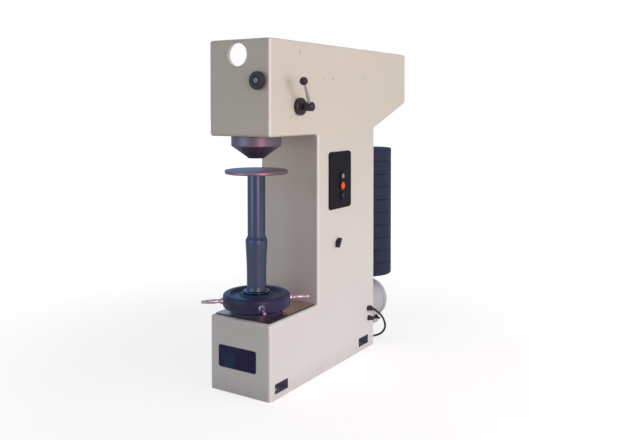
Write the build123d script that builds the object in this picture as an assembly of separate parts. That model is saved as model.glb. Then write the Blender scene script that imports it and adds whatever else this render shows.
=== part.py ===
"""Bench hardness tester of the dead-weight type: a ball is pressed into a specimen by slotted
weights through one long lever, and the dent is read on a screen in the head.

Millimetres. X is the machine's right (the side with the switches), Y its back, Z up. The
origin is the middle of the base's footprint, on the floor."""

import os
from math import cos, pi, radians, sin, tan

from build123d import *

# --- Driving dimensions -------------------------------------------------------------------
width = 240                     # base, column and head share one width
height = 1127
base_length = 680
base_height = 241
head_length = 952               # from the front face to the end of the overhang
head_depth = 307                # from the top down to the underside over the table
column_setback = 277            # front face to the column
spindle_setback = 90            # front face to the axis of screw, table and ball
overhang_depth = 198            # at its rear end; a chamfer leads down to the column
chamfer_depth = 295
wall = 18
edge_round, base_round = 8, 10  # along the casting's sides, and round the base's top
running = 0.05                  # radial clearance of a running fit
apart = 0.4                     # free gap between pieces that move past each other

# --- Places worked out from them ----------------------------------------------------------
side = width / 2
front = -base_length / 2
rear = base_length / 2
head_underside = height - head_depth
overhang_underside = height - overhang_depth
chamfer_foot = height - chamfer_depth
column_front = front + column_setback
head_rear = front + head_length
axis_y = front + spindle_setback
inner_side = side - wall

# --- Table, screw and handwheel -----------------------------------------------------------
table_radius, table_thick = 102.5, 12
table_top = head_underside - 110
table_up, table_down = 30, 165  # travel from the stored place
screw_radius = 22
screw_foot = 190
plate_top = base_height + 4
housing_radius, housing_top = 85, base_height + 20
wheel_radius, wheel_low, wheel_high = 110, base_height + 23, base_height + 69
race_low = base_height - 26
nut_low, nut_high = race_low + 20.4, wheel_low + 20
sleeve_radius, sleeve_foot = 29, wheel_high + 142
guard_bore = sleeve_radius + apart
guard_neck, guard_mouth = wheel_high + 82, wheel_high + 175
handle_reach = 180

# --- Load train: three knife edges on one long lever --------------------------------------
ratio = 20
hanger_y = (rear + head_rear) / 2 + 14      # axis of the weights
arm = (hanger_y - axis_y) / (ratio - 1)     # fulcrum to spindle
fulcrum_y = axis_y - arm
knife_z = height - 147
knife_nose = 1                  # radius of the edges, about which the lever rocks
knife_half = 12 / 2 * 2 ** 0.5 - knife_nose * (2 ** 0.5 - 1)  # from a bar's middle to its edge
weight_drop = 20
weight_radius, weight_count = hanger_y - rear - 45, 10
push_y = 262                    # push rod that lowers the lever
lever_low, lever_high = knife_z - 30, knife_z + 24
push_drop = weight_drop * (push_y - fulcrum_y) / (hanger_y - fulcrum_y)
cam_top, cam_sweep = 47, radians(150)
roller_radius = 12
nozzle_low = head_underside - 72
ball_radius = 5
ball_z = nozzle_low + ball_radius + 0.2

# --- Front and side fittings --------------------------------------------------------------
screen_x, screen_z, screen_bore = -5, height - 49, 40
knob_x, knob_z, knob_radius = 80, height - 132, 28.5
lever_y, lever_z, lever_boss_x = -180, height - 212, side + 44
lever_ball = (lever_boss_x + 6, lever_y - 48, lever_z + 80)
panel_y, panel_z = (4, 151), (head_underside - 264, head_underside - 63)
button_y = 86
button_z = {name: panel_z[0] + up for name, up in
            (("start_button", 113), ("lamp_button", 79), ("stop_button", 45))}
button_travel = 4
isolator_y, isolator_z, isolator_lean = 57, panel_z[0] - 119, -30
side_screw_spots = [(y, height - down) for y, down in
                    ((-226, 245), (-26, 118), (33, 116), (-174, 36), (265, 109))]
plate_x, plate_z = (-84, 65), (base_height - 162, base_height - 91)

# --- Feet, motor and leads ----------------------------------------------------------------
pocket_y, pocket_z, pocket_length, pocket_depth = (-280, 256), (18, 50), 72, 46
bolt_x, bolt_radius = side - 22, 9
terminal_x = (58, 92)
motor_z, motor_radius, motor_flange_radius = 125, 78, 96
motor_flange_end, motor_body_end, motor_end = rear + 12, rear + 164, rear + 232
stack_foot, stack_top = motor_z + 114, chamfer_foot - 85
weight_pitch = (stack_top - stack_foot) / weight_count
weight_thick = weight_pitch - 0.2
cam_z = motor_z + 90
mains_exit, motor_exit = (292, 149), (297, 111)      # (y, z) on the right wall
lead_radius, motor_lead_radius = 4, 3
coil_x, coil_y, coil_radius, coil_section = -25, 425, 44, 12

os.makedirs("parts", exist_ok=True)


def save(name, shape):
    export_step(shape, f"parts/{name}.step")


def group(shapes):
    """Several separate solids that share one node."""
    return Compound([solid for shape in shapes for solid in shape.solids()])


def block(x, y, z):
    """Box between two limits on each axis."""
    return Pos(sum(x) / 2, sum(y) / 2, sum(z) / 2) * Box(x[1] - x[0], y[1] - y[0], z[1] - z[0])


def turned(profile):
    """Solid of revolution about Z from (radius, height) points."""
    points = [(r, h) for r, h in profile]
    return revolve(Plane.XZ * make_face(Polyline(*points, close=True)), Axis.Z)


def column_of(radius, low, high, x=0, y=0):
    return Pos(x, y, (low + high) / 2) * Cylinder(radius, high - low)


def outward(place, facing):
    """Where a piece drawn along +Z goes when it points out of a face."""
    turn = {"right": Rot(0, 90, 0), "left": Rot(0, -90, 0), "front": Rot(90, 0, 0),
            "back": Rot(-90, 0, 0), "up": Rot(0, 0, 0)}[facing]
    return Pos(*place) * turn


def side_profile(corners):
    """Closed outline in the YZ plane from (y, z, corner radius)."""
    face = make_face(Polyline(*[(y, z) for y, z, _ in corners], close=True))
    for radius in sorted({r for *_, r in corners if r}):
        spots = [Vector(y, z) for y, z, r in corners if r == radius]
        face = fillet([v for v in face.vertices()
                       if any((Vector(v) - spot).length < 0.01 for spot in spots)], radius)
    return Plane.YZ * face


def pan_screw(head_radius, head_height, shank_radius, length):
    """Low domed head on the face, shank below it."""
    return turned([(0, -length), (shank_radius, -length), (shank_radius, 0), (head_radius, 0),
                   (head_radius, head_height * 0.5), (head_radius * 0.7, head_height * 0.9),
                   (0, head_height)])


# --- Main casting: base, column and head in one hollow piece ------------------------------
column_and_head = extrude(side_profile([
    (column_front, 0, 0), (column_front, head_underside, 14), (front, head_underside, 10),
    (front, height, 10), (head_rear, height, 10), (head_rear, overhang_underside, 14),
    (rear, chamfer_foot, 16), (rear, 0, 0)]), side, both=True)
column_and_head = fillet([e for e in column_and_head.edges()
                          if abs(abs(e.center().X) - side) < 0.01 and e.center().Z > 1],
                         edge_round)

base_front = block((-side, side), (front, column_front + 20), (0, base_height))
base_front = fillet([e for e in base_front.edges()
                     if (abs(e.center().Y - front) < 0.01 and abs(abs(e.center().X) - side) < 0.01)
                     or (abs(e.center().Z - base_height) < 0.01 and e.center().Y < column_front + 19)],
                    base_round)

hollow = extrude(side_profile([
    (front + wall, wall, 6), (front + wall, base_height - wall, 6),
    (column_front + wall, base_height - wall, 6), (column_front + wall, head_underside + 30, 6),
    (front + wall, head_underside + 30, 6), (front + wall, height - 6, 0),
    (head_rear - wall, height - 6, 0), (head_rear - wall, overhang_underside + wall, 6),
    (rear - wall, chamfer_foot + wall, 6), (rear - wall, wall, 6)]), inner_side, both=True)

screw_boss = column_of(52 + wall, wall, base_height, y=axis_y)
pocket_walls = [block((sx * (side - pocket_depth - 10), sx * side)[::sx],
                      (y - pocket_length / 2 - 10, y + pocket_length / 2 + 10), (0, pocket_z[1] + 10))
                for sx in (-1, 1) for y in pocket_y]
cover_spots = [(sx * (inner_side - 3), y) for sx in (-1, 1)
               for y in (front + wall + 8, -100, 110, 360, head_rear - wall - 8)]
cover_lugs = [column_of(11, height - 34, height - 6, x, y) for x, y in cover_spots]
hollow -= [screw_boss, *pocket_walls, *cover_lugs]

pockets = [block((sx * (side - pocket_depth), sx * (side + 1))[::sx],
                 (y - pocket_length / 2, y + pocket_length / 2), pocket_z)
           for sx in (-1, 1) for y in pocket_y]
foot_holes = [column_of(bolt_radius, -1, pocket_z[0] + 1, sx * bolt_x, y)
              for sx in (-1, 1) for y in pocket_y]
cover_top = chamfer_foot - 56
cover_seat = block((-side + 11, side - 11), (front + 10, head_rear - 10), (height - 6, height + 1))
rear_opening = block((-70, 70), (rear - wall - 1, rear + 1), (300, cover_top - 16))
panel_opening = block((inner_side - 1, side + 1), (panel_y[0] + 14, panel_y[1] - 14),
                      (panel_z[0] + 14, panel_z[1] - 14))
shaft_hole = outward((inner_side - 1, lever_y, lever_z), "right") * column_of(14, 0, wall + 2)
isolator_hole = outward((inner_side - 1, isolator_y, isolator_z), "right") * column_of(11, 0, wall + 2)
exit_holes = [outward((inner_side - 1, y, z), "right") * column_of(7, 0, wall + 2)
              for y, z in (mains_exit, motor_exit)]
motor_hole = outward((0, rear - wall - 1, motor_z), "back") * column_of(36, 0, wall + 2)
screen_hole = outward((screen_x, front + wall + 1, screen_z), "front") * column_of(screen_bore, 0, wall + 2)
knob_hole = outward((knob_x, front + wall + 1, knob_z), "front") * column_of(9, 0, wall + 2)
spindle_hole = column_of(45, head_underside - 1, head_underside + 31, y=axis_y)
hanger_hole = column_of(24, overhang_underside - 70, overhang_underside, y=hanger_y)
screw_pit = (column_of(31, wall, base_height, y=axis_y)
             + column_of(52, race_low, base_height + 1, y=axis_y))
side_screw_holes = [outward((sx * side, y, z), "right" if sx > 0 else "left") * column_of(3, -12, 1)
                    for sx in (-1, 1) for y, z in side_screw_spots]
cover_screw_holes = [column_of(2.5, height - 26, height - 5, x, y) for x, y in cover_spots]

main_casting = (column_and_head + base_front) - [
    hollow, *pockets, *foot_holes, cover_seat, rear_opening, panel_opening, shaft_hole,
    isolator_hole, *exit_holes, motor_hole, screen_hole, knob_hole, spindle_hole, hanger_hole,
    screw_pit, *side_screw_holes, *cover_screw_holes]
save("main_casting", main_casting)

# --- Covers and their screws --------------------------------------------------------------
head_top_cover = block((-side + 11.3, side - 11.3), (front + 10.3, head_rear - 10.3),
                       (height - 6, height))
head_top_cover -= [Pos(x, y, height) * turned([(0, -7), (3.2, -7), (3.2, -3), (6.2, 0), (6.2, 1), (0, 1)])
                   for x, y in cover_spots]
save("head_top_cover", head_top_cover)
save("cover_screws", group([
    Pos(x, y, height) * turned([(0, -22), (2.45, -22), (2.45, -3.2), (5.9, -0.1), (1.6, -0.1), (0, -1.6)])
    for x, y in cover_spots]))

rear_spots = [(sx * 78, z) for sx in (-1, 1) for z in (300, (284 + cover_top) / 2, cover_top - 16)]
rear_cover = block((-86, 86), (rear, rear + 4), (284, cover_top))
rear_cover = fillet(rear_cover.edges().filter_by(Axis.Y), 8)
rear_cover -= [outward((x, rear - 1, z), "back") * column_of(3.1, 0, 6) for x, z in rear_spots]
save("rear_cover", rear_cover)
rear_screws = [outward((x, rear + 4, z), "back") * pan_screw(5, 3, 2.95, 4) for x, z in rear_spots]
side_screws = [outward((sx * side, y, z), "right" if sx > 0 else "left") * pan_screw(5, 3, 2.95, 11)
               for sx in (-1, 1) for y, z in side_screw_spots]
save("case_screws", group(rear_screws + side_screws))

# --- Base top and rating plate ------------------------------------------------------------
base_top_plate = block((-side + 12, side - 12), (front + 12, column_front - 1), (base_height, plate_top))
base_top_plate = fillet(base_top_plate.edges().filter_by(Axis.Z), 6)
base_top_plate -= column_of(52, base_height - 1, plate_top + 1, y=axis_y)
save("base_top_plate", base_top_plate)

rating_plate = block(plate_x, (front - 1.5, front), plate_z)
rating_plate = fillet(rating_plate.edges().filter_by(Axis.Y), 8)
save("rating_plate", rating_plate)

# --- Screen and its optics ----------------------------------------------------------------
save("screen_bezel", outward((screen_x, front, screen_z), "front") * turned(
    [(37, -16), (screen_bore - 0.2, -16), (screen_bore - 0.2, 0.8), (38.4, 1.6), (37, 0.8)]))
save("projection_screen", outward((screen_x, front, screen_z), "front") * column_of(36.9, -13, -9))
save("projection_tube", outward((screen_x, front, screen_z), "front") * turned(
    [(26, -150), (30, -150), (30, -60), (36, -20), (36, -16.5), (32, -16.5), (32, -20), (26, -60)]))
save("lamp_house", block((-42, 38), (-190, -100), (height - 85, height - 15))
     + block((-inner_side, inner_side), (-160, -130), (height - 23, height - 15)))

# --- Measuring knob -----------------------------------------------------------------------
knob_place = outward((knob_x, front, knob_z), "front")
save("knob_collar", knob_place * turned(
    [(6 + running, -20), (8.9, -20), (8.9, 0), (20, 0), (20, 3), (6 + running, 3)]))
knob_grips = [Rot(0, 0, a) * column_of(1.6, 4, 17, knob_radius + 0.6) for a in range(0, 360, 15)]
measuring_knob = turned([(5, 3.4), (24, 3.4), (knob_radius, 6), (knob_radius, 16), (25.5, 19),
                         (14, 19), (12, 17), (5, 17)]) - knob_grips
save("measuring_knob", knob_place * measuring_knob)
save("micrometer_spindle", knob_place * (turned(
    [(0, -28), (6, -28), (6, 3.2), (4.9, 3.2), (4.9, 17.2), (9, 17.2), (9, 19), (7.5, 20.5), (0, 20.5)])
    - block((-8, 8), (-0.8, 0.8), (19.4, 22))))

# --- Operating lever on the head's side ---------------------------------------------------
lever_place = outward((side, lever_y, lever_z), "right")
boss_out = lever_boss_x - side
save("lever_collar", lever_place * turned(
    [(9 + running, -24), (13.9, -24), (13.9, 0), (28.5, 0), (28.5, 12), (25.5, 15), (16, 15),
     (14, 19), (9 + running, 19)]))
rod_end = Vector(*lever_ball)
rod_root = Vector(lever_boss_x, lever_y, lever_z)
rod_line = (rod_end - rod_root).normalized()
rod_plane = Plane(origin=rod_root, z_dir=rod_line)
lever_shaft = turned([(0, -30), (9, -30), (9, boss_out - 15), (13, boss_out - 15), (15, boss_out - 12),
                      (15, boss_out + 8), (13, boss_out + 10), (0, boss_out + 10)])
save("lever_shaft", lever_place * lever_shaft - rod_plane * Cylinder(4.05, 60))
save("lever_rod", rod_plane * column_of(4, -8, (rod_end - rod_root).length - 4))
save("lever_ball", Pos(*lever_ball) * Sphere(13.5)
     - rod_plane * column_of(4.05, 0, (rod_end - rod_root).length - 3.9))

# --- Nozzle, spindle guide, spindle and ball ----------------------------------------------
axis_place = Pos(0, axis_y, 0)
save("clamping_nozzle", axis_place * turned(
    [(22, head_underside), (79, head_underside), (81, head_underside - 2), (81, head_underside - 31),
     (78, head_underside - 34), (29, nozzle_low + 3), (27, nozzle_low), (11, nozzle_low),
     (11, nozzle_low + 12), (22, nozzle_low + 20)]))
save("spindle_guide", axis_place * turned(
    [(14 + running, head_underside + 0.2), (44.9, head_underside + 0.2), (44.9, head_underside + 30),
     (30, head_underside + 38), (30, knife_z - 75), (14 + running, knife_z - 75)]))
spindle_head = (block((-44, 44), (-12, 12), (knife_z - 55, knife_z - knife_half - apart))
                - block((-19, 19), (-13, 13), (knife_z - 37, knife_z)))
save("indenter_spindle", axis_place * (column_of(14, nozzle_low + 28, knife_z - 54) + spindle_head))
save("ball_holder", axis_place * (turned(
    [(0, ball_z + 22), (10, ball_z + 22), (10, ball_z + 4), (6.5, ball_z - 1.5), (0, ball_z - 1.5)])
    - Pos(0, 0, ball_z) * Sphere(ball_radius + 0.02)))
save("indenter_ball", axis_place * Pos(0, 0, ball_z) * Sphere(ball_radius))

# --- Main lever, its knife edges and the fulcrum ------------------------------------------
lever_outline = Plane.YZ * make_face(Polyline(
    (fulcrum_y - 18, lever_low), (push_y + 25, lever_low), (hanger_y - 40, lever_low + 12),
    (hanger_y + 14, lever_low + 12), (hanger_y + 14, lever_high - 4), (-150, lever_high),
    (fulcrum_y - 18, lever_high), close=True))
knife_bar = fillet(Box(84, 12, 12).edges().filter_by(Axis.X), knife_nose)
knife_bars = [Pos(0, y, knife_z) * Rot(45, 0, 0) * knife_bar for y in (fulcrum_y, axis_y, hanger_y)]
lightening = [Pos(0, y, knife_z - 2) * Rot(0, 90, 0) * Cylinder(14, 60) for y in range(-130, 420, 90)]
save("main_lever", extrude(lever_outline, 15, both=True) - knife_bars - lightening)
save("knife_edges", group(knife_bars))
fulcrum_block = block((-inner_side, inner_side), (fulcrum_y - 17, fulcrum_y + 17),
                      (knife_z + 28, knife_z + 54))
fulcrum_block += [block((sx * 19, sx * 44)[::sx], (fulcrum_y - 11, fulcrum_y + 11),
                        (knife_z + knife_half + apart, knife_z + 29)) for sx in (-1, 1)]
save("fulcrum_block", fulcrum_block)

# --- Hanger and slotted weights -----------------------------------------------------------
stirrup_low = lever_low - 7
hanger_stirrup = (block((-60, 60), (-12, 12), (stirrup_low, knife_z + 50))
                  - block((-46, 46), (-13, 13), (stirrup_low + 14, knife_z + 32)))
hanger_stirrup += [block((sx * 19, sx * 47)[::sx], (-12, 12), (knife_z + knife_half + apart, knife_z + 33))
                   for sx in (-1, 1)]
hanger_place = Pos(0, hanger_y, 0)
save("hanger_stirrup", hanger_place * fillet(hanger_stirrup.edges().filter_by(Axis.Y).filter_by(
    lambda e: abs(abs(e.center().X) - 60) < 0.1), 10))
save("hanger_rod", hanger_place * column_of(9, stack_foot - 10, stirrup_low - 0.2))
save("hanger_plate", hanger_place * turned(
    [(9.05, stack_foot - 10), (54, stack_foot - 10), (60, stack_foot - 6), (60, stack_foot - 0.2),
     (9.05, stack_foot - 0.2)]))
disc = turned([(11, 0), (weight_radius - 2, 0), (weight_radius, 2), (weight_radius, weight_thick - 2),
               (weight_radius - 2, weight_thick), (11, weight_thick)])
disc -= block((-11, 11), (0, weight_radius + 5), (-1, weight_thick + 1))
save("weights", group([
    Pos(0, hanger_y, stack_foot + n * weight_pitch) * Rot(0, 0, 35 if n % 2 else -35) * disc
    for n in range(weight_count)]))

# --- Drive that lets the lever down: gearbox, cam, push rod -------------------------------
gearbox = block((-58, 58), (200, rear - wall - 1), (wall + 0.2, cam_z - 55))
gearbox = fillet(gearbox.edges().filter_by(Axis.X), 8)
gearbox += [block((sx * 20, sx * 44)[::sx], (push_y - 24, push_y + 24), (cam_z - 65, cam_z + 24))
            for sx in (-1, 1)]
gearbox -= outward((-60, push_y, cam_z), "right") * column_of(10 + running, 0, 120)
save("gearbox", gearbox)
drop_per_turned = push_drop / cam_sweep
fall = [(cam_top - drop_per_turned * a, a) for a in [cam_sweep * i / 12 for i in range(13)]]
low_radius = cam_top - push_drop
rise_start, rise_span = cam_sweep + 0.25, 2 * pi - cam_sweep - 0.5
rise = [(low_radius + push_drop * (1 - cos(pi * i / 8)) / 2, rise_start + rise_span * i / 8)
        for i in range(9)]
cam_points = [(0, r * sin(a), r * cos(a)) for r, a in fall + rise]
cam_face = make_face(Spline(*cam_points, periodic=True))
cam_place = Pos(0, push_y, cam_z)
save("cam", cam_place * (extrude(cam_face, 12, dir=(1, 0, 0), both=True)
                         + outward((-50, 0, 0), "right") * column_of(10, 0, 100)))
roller_z = cam_z + cam_top + roller_radius + apart + 0.1
push_rod = column_of(9, roller_z + 20, lever_low - 8, y=push_y)
push_rod += Pos(0, push_y, 0) * turned([(0, lever_low - 12), (14, lever_low - 12), (14, lever_low - 4),
                                        (7, lever_low - 1), (0, lever_low - apart)])
yoke = (block((-15, 15), (-9, 9), (roller_z - 9, roller_z + 22))
        - block((-10, 10), (-12, 12), (roller_z - 14, roller_z + 14)))
roller = Pos(0, push_y, roller_z) * Rot(0, 90, 0) * Cylinder(roller_radius, 19)
save("push_rod", group([push_rod + Pos(0, push_y, 0) * yoke, roller]))
guide_plate = block((-inner_side, inner_side), (push_y - 24, push_y + 24), (600, 614))
guide_plate += column_of(18, 585, 640, y=push_y)
save("push_rod_guide", guide_plate - column_of(9 + running, 580, 650, y=push_y))

# --- Table, sleeve and screw --------------------------------------------------------------
save("test_table", axis_place * turned(
    [(0, table_top - table_thick), (99.5, table_top - table_thick), (table_radius, table_top - 9),
     (table_radius, table_top - 2), (table_radius - 2, table_top), (0, table_top)]))
save("table_sleeve", axis_place * turned(
    [(screw_radius + 3, sleeve_foot), (sleeve_radius, sleeve_foot), (sleeve_radius, table_top - 12.1),
     (screw_radius + 3, table_top - 12.1)]))
save("elevating_screw", axis_place * turned(
    [(0, screw_foot), (screw_radius - 3, screw_foot), (screw_radius, screw_foot + 3),
     (screw_radius, table_top - 12.2), (0, table_top - 12.2)]))

# --- Handwheel, nut and guard sleeve ------------------------------------------------------
save("elevating_nut", axis_place * turned(
    [(screw_radius + running, nut_low), (36, nut_low), (36, nut_low - 3), (39, nut_low - 3),
     (42, nut_low - 4.8), (45, nut_low - 3), (46, nut_low), (46, housing_top - 8), (34, housing_top - 8),
     (34, nut_high), (screw_radius + running, nut_high)]))
save("bearing_housing", axis_place * turned(
    [(52, plate_top + 0.1), (housing_radius, plate_top + 0.1), (housing_radius, housing_top - 4),
     (housing_radius - 4, housing_top), (36, housing_top), (36, housing_top - 6), (52, housing_top - 6)]))
lower_race = turned([(32, race_low), (51.9, race_low), (51.9, race_low + 7), (47, race_low + 7),
                     (42, race_low + 5), (37, race_low + 7), (32, race_low + 7)])
bearing_balls = [Rot(0, 0, a) * Pos(42, 0, race_low + 10.1) * Sphere(5) for a in range(0, 360, 36)]
save("thrust_bearing", axis_place * group([lower_race, *bearing_balls]))
wheel_middle = (wheel_low + wheel_high) / 2
wheel_profile = Plane.XZ * make_face(Polyline(
    (34.05, wheel_low), (46, wheel_low), (50, wheel_low + 10), (82, wheel_low + 10), (86, wheel_low),
    (wheel_radius, wheel_low), (wheel_radius, wheel_high), (86, wheel_high), (82, wheel_high - 9),
    (52, wheel_high - 9), (48, wheel_high), (34.05, wheel_high), close=True))
handwheel = revolve(wheel_profile, Axis.Z)
handwheel = fillet([e for e in handwheel.edges().filter_by(GeomType.CIRCLE)
                    if abs(e.radius - wheel_radius) < 0.01], 11)
handle_seats = [Rot(0, 0, a) * Pos(0, 0, wheel_middle) * Rot(0, 90, 0) * column_of(5, 92, 115)
                for a in range(45, 360, 90)]
save("handwheel", axis_place * (handwheel - handle_seats))
handle = turned([(0, 93), (4.9, 93), (4.9, wheel_radius + 0.2), (10, wheel_radius + 0.2),
                 (10, wheel_radius + 7), (7.5, wheel_radius + 10), (6.8, handle_reach - 32),
                 (5, handle_reach - 8), (5, handle_reach - 4), (3.6, handle_reach - 1), (0, handle_reach)])
save("handwheel_handles", axis_place * group([
    Rot(0, 0, a) * Pos(0, 0, wheel_middle) * Rot(0, 90, 0) * handle for a in range(45, 360, 90)]))
save("guard_sleeve", axis_place * turned(
    [(guard_bore, wheel_high + 0.1), (44, wheel_high + 0.1), (44, wheel_high + 6), (31.6, wheel_high + 8),
     (31.6, guard_neck), (36, guard_mouth - 3), (36, guard_mouth), (guard_bore, guard_mouth)]))

# --- Switch panel, buttons and isolator ---------------------------------------------------
switch_panel = fillet(block((side, side + 6), panel_y, panel_z).edges().filter_by(Axis.X), 12)
switch_panel = chamfer(switch_panel.edges().filter_by(lambda e: abs(e.center().X - side - 6) < 0.01), 1.2)
button_places = {name: outward((side, button_y, z), "right") for name, z in button_z.items()}
switch_panel -= [place * column_of(12, -2, 8) for place in button_places.values()]
save("switch_panel", switch_panel)
bezel = turned([(9.4, -12), (11.9, -12), (11.9, 6.1), (14.6, 6.1), (14.6, 8), (12.6, 10), (9.4, 10)])
contact_block = block((-14, 14), (-14, 14), (-42, -12))
save("button_bodies", group([place * (bezel + contact_block) for place in button_places.values()]))
cap = turned([(0, -7), (9, -7), (9, 10.5), (7.5, 12), (0, 12)])
dome = turned([(0, -7), (9, -7), (9, 11), (7.4, 13.2), (4, 14.6), (0, 15)])
for name, place in button_places.items():
    save(name, place * (dome if name == "lamp_button" else cap))

isolator_place = outward((side, isolator_y, isolator_z), "right")
isolator_switch = turned([(4 + running, -30), (10.9, -30), (10.9, 0), (15, 0), (15, 2.2), (14, 3),
                          (4 + running, 3)]) + block((-16, 16), (-16, 16), (-60, -30))
save("isolator_switch", isolator_place * isolator_switch)
knob_bar = block((-18, 18), (-4.5, 4.5), (3.4, 17))
knob_bar = fillet(knob_bar.edges().filter_by(Axis.Z), 4)
isolator_knob = column_of(12, 3.4, 8) + knob_bar + column_of(4, -28, 4)
save("isolator_knob", isolator_place * Rot(0, 0, isolator_lean) * isolator_knob)

# --- Motor --------------------------------------------------------------------------------
motor_place = outward((0, 0, motor_z), "back")
save("motor_flange", motor_place * turned(
    [(34, rear - 15), (35.8, rear - 15), (35.8, rear + 0.1), (motor_flange_radius, rear + 0.1),
     (motor_flange_radius, motor_flange_end - 2), (motor_flange_radius - 2, motor_flange_end),
     (34, motor_flange_end)]))
bolt_circle = (motor_radius + motor_flange_radius) / 2 + 1
bolt_head = Pos(bolt_circle, 0, motor_flange_end + 0.1) * extrude(RegularPolygon(5.5, 6), 5)
save("flange_bolts", group([motor_place * Rot(0, 0, a) * bolt_head for a in range(45, 360, 90)]))
save("motor_body", motor_place * turned(
    [(0, motor_flange_end + 0.1), (motor_radius - 2, motor_flange_end + 0.1),
     (motor_radius, motor_flange_end + 2), (motor_radius, motor_body_end), (0, motor_body_end)])
    - block((-90, 90), (motor_body_end, motor_end), (0, 300)))
dome_depth = motor_end - motor_body_end
dome_arc = [((motor_radius + 2) * cos(a), motor_body_end + 16 + (dome_depth - 16) * sin(a))
            for a in [pi / 2 * i / 9 for i in range(10)]]
save("motor_end_cover", motor_place * turned(
    [(0, motor_body_end + 0.1), (motor_radius + 2, motor_body_end + 0.1), *dome_arc]))
terminal_box = block(terminal_x, (372, 434), (motor_z - 64, motor_z - 14))
terminal_box = fillet(terminal_box.edges().filter_by(Axis.X), 5)
terminal_box -= motor_place * column_of(motor_radius + 0.1, rear, motor_body_end)
save("terminal_box", terminal_box)


# --- Leads --------------------------------------------------------------------------------
def lead(points, radius):
    """Round tube along a filleted line. Returns the solid and prints its bends."""
    path, bends = points, []
    for a, b, c in zip(path, path[1:], path[2:]):
        into, out = Vector(*b) - Vector(*a), Vector(*c) - Vector(*b)
        turn = radians(into.get_angle(out))
        bends.append(0.45 * min(into.length, out.length) / tan(turn / 2))
    line = FilletPolyline(*path, radius=bends)
    section = Plane(origin=line @ 0, z_dir=line % 0) * Circle(radius)
    tube = sweep(section, path=line)
    print("bends", [round(r, 1) for r in bends], "length", round(line.length, 1),
          "volume ratio", round(tube.volume / (pi * radius ** 2 * line.length), 4))
    return tube


mains_points = [(135, mains_exit[0] + 22, mains_exit[1] - 8), (146, 342, 122), (148, 378, 82),
                (135, 408, 44), (108, 418, 14), (76, 402, lead_radius + 0.2),
                (36, 384, lead_radius + 0.2), (-4, 379, lead_radius + 0.2)]
save("mains_lead", lead(mains_points, lead_radius))
motor_points = [(131, motor_exit[0] + 22, motor_exit[1] - 4), (131, 352, 98), (126, 386, 90),
                (terminal_x[1] + 12.3, 402, 86)]
save("motor_lead", lead(motor_points, motor_lead_radius))
elbow = turned([(0, 0), (10, 0), (10, 4), (7.5, 5), (7.5, 18), (5.5, 20), (0, 20)])
wall_glands = []
for (y, z), points in ((mains_exit, mains_points), (motor_exit, motor_points)):
    mouth = Plane(origin=points[0], z_dir=Vector(*points[1]) - Vector(*points[0]))
    boot = turned([(0, -24), (6.8, -24), (6.8, -19), (4.6, 0), (0, 0)])
    wall_glands.append(outward((side, y, z), "right") * elbow + mouth * boot)
terminal_gland = Plane(origin=(terminal_x[1], 404.6, 86), z_dir=(1, -0.22, 0)) * turned(
    [(0, 1.8), (8, 1.8), (8, 6), (6.5, 7), (6.5, 11.6), (0, 11.6)])
save("cable_glands", group([*wall_glands, terminal_gland]))
save("lead_coil", Pos(coil_x, coil_y, coil_section) * revolve(Plane.XZ * Pos(coil_radius, 0) * fillet(
    Rectangle(2 * coil_section, 2 * coil_section).vertices(), 8), Axis.Z))
plug_place = Pos(coil_x - 50, coil_y + 20, 18.1) * Rot(-90, 0, 0)
plug = turned([(0, 0), (5, 0), (8, 16), (14, 24), (18, 33), (18, 48), (0, 48)])
pins = [column_of(2.4, 47, 66, sx * 9.5) for sx in (-1, 1)]
save("mains_plug", plug_place * (plug + pins))
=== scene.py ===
# %% [markdown]
# # A dead-weight hardness tester, dressed in Blender
# The machine comes in as a fixed frame: every rigid piece already has its true size and place, and
# moves on its own body. What is left is what the eye reads, which is paint, steel, rubber and the
# small turned and moulded forms. All lengths are metres, X is the machine's right, Y its back.

# %% Load the frame
from math import cos, pi, radians, sin, tau

import bpy
import numpy as np
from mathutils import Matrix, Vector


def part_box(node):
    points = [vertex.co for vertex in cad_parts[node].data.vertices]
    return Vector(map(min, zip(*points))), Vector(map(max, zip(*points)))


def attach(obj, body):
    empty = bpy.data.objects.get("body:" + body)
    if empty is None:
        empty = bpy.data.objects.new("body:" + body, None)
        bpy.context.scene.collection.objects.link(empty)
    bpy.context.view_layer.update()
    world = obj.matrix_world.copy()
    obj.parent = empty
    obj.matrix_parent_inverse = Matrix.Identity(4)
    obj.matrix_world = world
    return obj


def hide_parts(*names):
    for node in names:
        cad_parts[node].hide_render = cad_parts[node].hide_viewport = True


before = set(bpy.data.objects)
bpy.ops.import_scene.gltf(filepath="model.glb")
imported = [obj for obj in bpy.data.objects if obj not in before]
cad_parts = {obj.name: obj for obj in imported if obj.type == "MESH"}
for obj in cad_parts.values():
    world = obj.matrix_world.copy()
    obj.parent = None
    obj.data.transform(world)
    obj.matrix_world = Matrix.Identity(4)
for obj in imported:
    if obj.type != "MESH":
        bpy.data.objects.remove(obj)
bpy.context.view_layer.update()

# %% [markdown]
# ## Where things are
# A few sizes are repeated from the part's source, because the script can't read that file. They are
# the ones that place new pieces: the spindle's axis, the front face and the right side.

# %% Shared places
AXIS_Y, FRONT, SIDE = -0.250, -0.340, 0.120
MM = 0.001
print("spindle axis at y =", AXIS_Y)

# %% [markdown]
# ## Camera
# The view is a quarter view from the front and the right, with the eye 0.92 m up and about 2.6 m
# away. Turning the camera down to frame the foot would make the column lean. A vertical shift frames
# it instead and keeps the column upright, as a view camera does.

# %% Camera
WIDTH, HEIGHT = 626, 440            # the frame, in pixels
FOCAL, AXIS_ROW = 735.567, 126.075  # the lens's length, and the row that its axis meets, in pixels
EYE = (1.4400, -2.1597, 0.9166)
TILT, TURN = 0.0272, 0.569          # radians down from level, and round from straight ahead
SENSOR = 36                         # mm

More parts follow.
